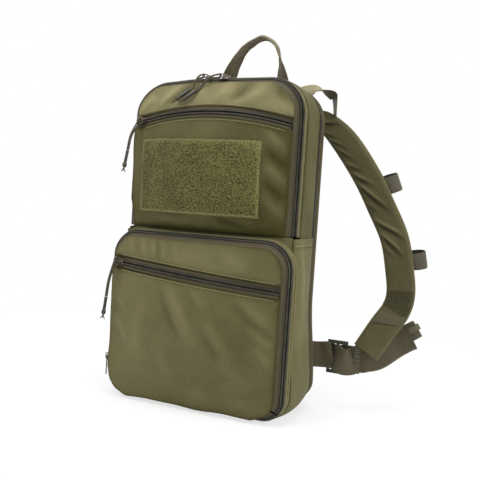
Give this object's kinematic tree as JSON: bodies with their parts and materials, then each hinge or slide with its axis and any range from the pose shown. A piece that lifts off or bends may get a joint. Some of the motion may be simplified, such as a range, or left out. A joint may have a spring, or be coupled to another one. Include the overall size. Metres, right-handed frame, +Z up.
{
  "type": "flat backpack",
  "caption": "Slim zipped pack with a fold-down front, a bulging front pocket, a loop-pile panel, a webbing carry handle, corded zip pulls and padded shoulder straps.",
  "frame": {"origin": "middle of the main body's flat base", "axes": "+Z up, +X to the right seen from the front, -Y out of the front pocket, +Y towards the wearer's back"},
  "size_m": [0.5326, 0.2114, 0.548],
  "materials": {
    "woven_nylon": "plain woven, matt",
    "lining": "smooth woven",
    "loop_pile": "brushed loop pile",
    "zip_tape": "woven tape with a dark coil",
    "webbing": "ribbed webbing",
    "strap_padding": "cloth over foam",
    "slider_metal": "dark bronze, satin",
    "pull_cord": "braided",
    "shrink_tube": "glossy black",
    "acetal": "moulded, satin",
    "frame_board": "smooth"
  },
  "bodies": {
    "pack": {"main_gusset": "woven_nylon", "lower_shell": "woven_nylon", "main_zip_rear_half": "zip_tape", "rear_zip": "zip_tape", "back_panel": "woven_nylon", "back_pad_left": "strap_padding", "back_pad_right": "strap_padding", "frame_sheet": "frame_board", "inner_sleeve": "lining", "pocket_gusset": "woven_nylon", "pocket_zip_rear_half": "zip_tape", "pocket_toe": "zip_tape", "shoulder_strap_right": "strap_padding", "yoke_band_right": "webbing", "strap_loop_upper_right": "webbing", "strap_loop_lower_right": "webbing", "lower_webbing_right": "webbing", "ladder_lock_right": "acetal", "web_roll_right": "webbing", "shoulder_strap_left": "strap_padding", "yoke_band_left": "webbing", "strap_loop_upper_left": "webbing", "strap_loop_lower_left": "webbing", "lower_webbing_left": "webbing", "ladder_lock_left": "acetal", "web_roll_left": "webbing"},
    "main_flap": {"crown_panel": "woven_nylon", "front_panel": "woven_nylon", "loop_panel": "loop_pile", "upper_slip_zip": "zip_tape", "main_zip_front_half": "zip_tape"},
    "pocket_flap": {"pocket_top_panel": "woven_nylon", "pocket_main_panel": "woven_nylon", "pocket_slip_zip": "zip_tape", "pocket_zip_front_half": "zip_tape"},
    "handle": {"carry_handle": "webbing"},
    "keeper_right": {"web_keeper_right": "webbing"},
    "keeper_left": {"web_keeper_left": "webbing"},
    "main_left_runner": {"main_left_slider": "slider_metal"},
    "main_left_pull": {"main_left_pull_ring": "slider_metal", "main_left_pull_cord": "pull_cord", "main_left_pull_grip": "shrink_tube"},
    "main_right_runner": {"main_right_slider": "slider_metal"},
    "main_right_pull": {"main_right_pull_ring": "slider_metal", "main_right_pull_cord": "pull_cord", "main_right_pull_grip": "shrink_tube"},
    "upper_slip_runner": {"upper_slip_slider": "slider_metal"},
    "upper_slip_pull": {"upper_slip_pull_ring": "slider_metal", "upper_slip_pull_cord": "pull_cord", "upper_slip_pull_grip": "shrink_tube"},
    "pocket_slip_runner": {"pocket_slip_slider": "slider_metal"},
    "pocket_slip_pull": {"pocket_slip_pull_ring": "slider_metal", "pocket_slip_pull_cord": "pull_cord", "pocket_slip_pull_grip": "shrink_tube"},
    "pocket_zip_runner": {"pocket_zip_slider": "slider_metal"},
    "pocket_zip_tab": {"pocket_zip_tab": "slider_metal"},
    "rear_zip_runner": {"rear_zip_slider": "slider_metal"},
    "rear_zip_tab": {"rear_zip_tab": "slider_metal"}
  },
  "joints": [
    {"name": "main_flap_fold", "type": "hinge", "parent": "pack", "child": "main_flap", "pos_m": [0, -0.05802, 0.2485], "axis": [1, 0, 0], "range_deg": [0, 70]},
    {"name": "pocket_flap_fold", "type": "hinge", "parent": "pack", "child": "pocket_flap", "pos_m": [0, -0.0783, 0.013], "axis": [1, 0, 0], "range_deg": [0, 75]},
    {"name": "handle_swing", "type": "hinge", "parent": "pack", "child": "handle", "pos_m": [0.018, 0.0516, 0.4664], "axis": [1, 0, 0], "range_deg": [-75, 60], "stiffness_Nm_per_rad": 0.02},
    {"name": "main_left_slide", "type": "slide", "parent": "main_flap", "child": "main_left_runner", "axis": [1, 0, 0], "range_m": [-0.055, 0]},
    {"name": "main_right_slide", "type": "slide", "parent": "main_flap", "child": "main_right_runner", "axis": [1, 0, 0], "range_m": [0, 0.055]},
    {"name": "main_left_pull_swing", "type": "hinge", "parent": "main_left_runner", "child": "main_left_pull", "pos_m": [-0.013, -0.0427, 0.46411], "axis": [0, 0.866, 0.5], "range_deg": [0, 100]},
    {"name": "main_right_pull_swing", "type": "hinge", "parent": "main_right_runner", "child": "main_right_pull", "pos_m": [0.013, -0.0427, 0.46411], "axis": [0, 0.866, 0.5], "range_deg": [0, 100]},
    {"name": "upper_slip_slide", "type": "hinge", "parent": "main_flap", "child": "upper_slip_runner", "pos_m": [0, 0.16722, 0.12492], "axis": [0, 0.7821, 0.6231], "range_deg": [0, 33.9]},
    {"name": "upper_slip_pull_swing", "type": "hinge", "parent": "upper_slip_runner", "child": "upper_slip_pull", "pos_m": [-0.10864, -0.05601, 0.40141], "axis": [-0.1694, 0.2922, 0.9412], "range_deg": [0, 120]},
    {"name": "pocket_slip_slide", "type": "hinge", "parent": "pocket_flap", "child": "pocket_slip_runner", "pos_m": [0, 0.51749, 0.1865], "axis": [0.0772, 0, 0.997], "range_deg": [0, 21.9]},
    {"name": "pocket_slip_pull_swing", "type": "hinge", "parent": "pocket_slip_runner", "child": "pocket_slip_pull", "pos_m": [-0.11609, -0.08406, 0.19646], "axis": [0.1209, 0.238, 0.9637], "range_deg": [0, 120]},
    {"name": "pocket_zip_slide", "type": "slide", "parent": "pocket_flap", "child": "pocket_zip_runner", "axis": [0, 0, 1], "range_m": [0, 0.135]},
    {"name": "pocket_zip_tab_swing", "type": "hinge", "parent": "pocket_zip_runner", "child": "pocket_zip_tab", "pos_m": [-0.13911, -0.0707, 0.054], "axis": [-0.5, 0.866, 0], "range_deg": [0, 150]},
    {"name": "rear_zip_slide", "type": "slide", "parent": "pack", "child": "rear_zip_runner", "axis": [0, 0, 1], "range_m": [0, 0.28]},
    {"name": "rear_zip_tab_swing", "type": "hinge", "parent": "rear_zip_runner", "child": "rear_zip_tab", "pos_m": [-0.134, 0.0388, 0.1185], "axis": [0, 1, 0], "range_deg": [0, 150]},
    {"name": "keeper_right_slide", "type": "slide", "parent": "pack", "child": "keeper_right", "axis": [1, 0, 0], "range_m": [-0.006, 0]},
    {"name": "keeper_left_slide", "type": "slide", "parent": "pack", "child": "keeper_left", "axis": [1, 0, 0], "range_m": [0, 0.006]}
  ]
}
